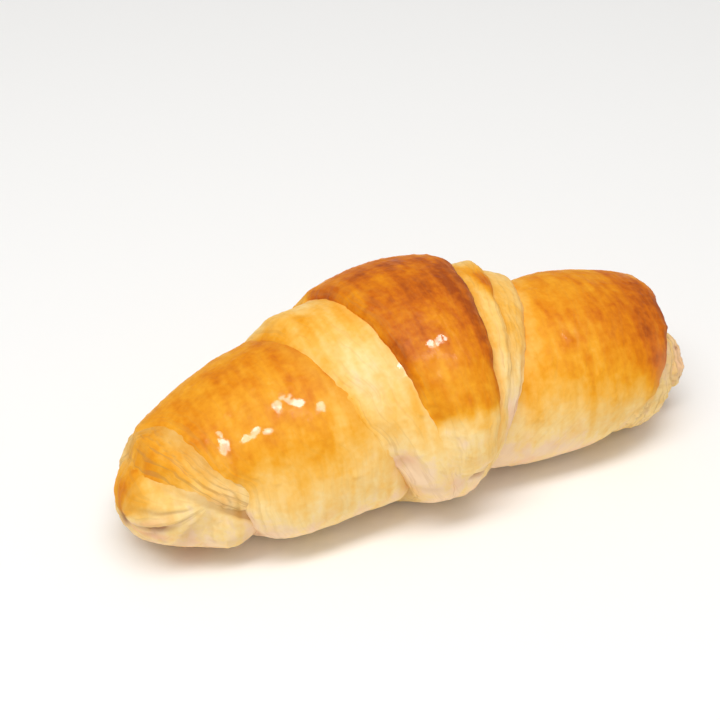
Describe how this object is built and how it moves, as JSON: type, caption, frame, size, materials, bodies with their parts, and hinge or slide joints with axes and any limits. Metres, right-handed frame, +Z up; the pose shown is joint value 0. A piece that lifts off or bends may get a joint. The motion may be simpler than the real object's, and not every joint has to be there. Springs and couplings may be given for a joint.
{
  "type": "ham croissant",
  "caption": "Whole baked croissant with a ham filling inside: a crescent roll of wrapped flaky dough, highest in the middle, stepping down to a tip at each end, flat belly.",
  "frame": {"origin": "under the middle of the croissant's box, on the surface that it rests on", "axes": "+X along the roll towards the right tip, +Z up, -Y the front, where both ends bend to"},
  "size_m": [0.1702, 0.0768, 0.0599],
  "materials": {
    "crust": "egg-washed baked crust, golden with brown crowns and pale creases, satin with glossy spots"
  },
  "bodies": {
    "root": {"croissant": "crust"}
  },
  "joints": []
}
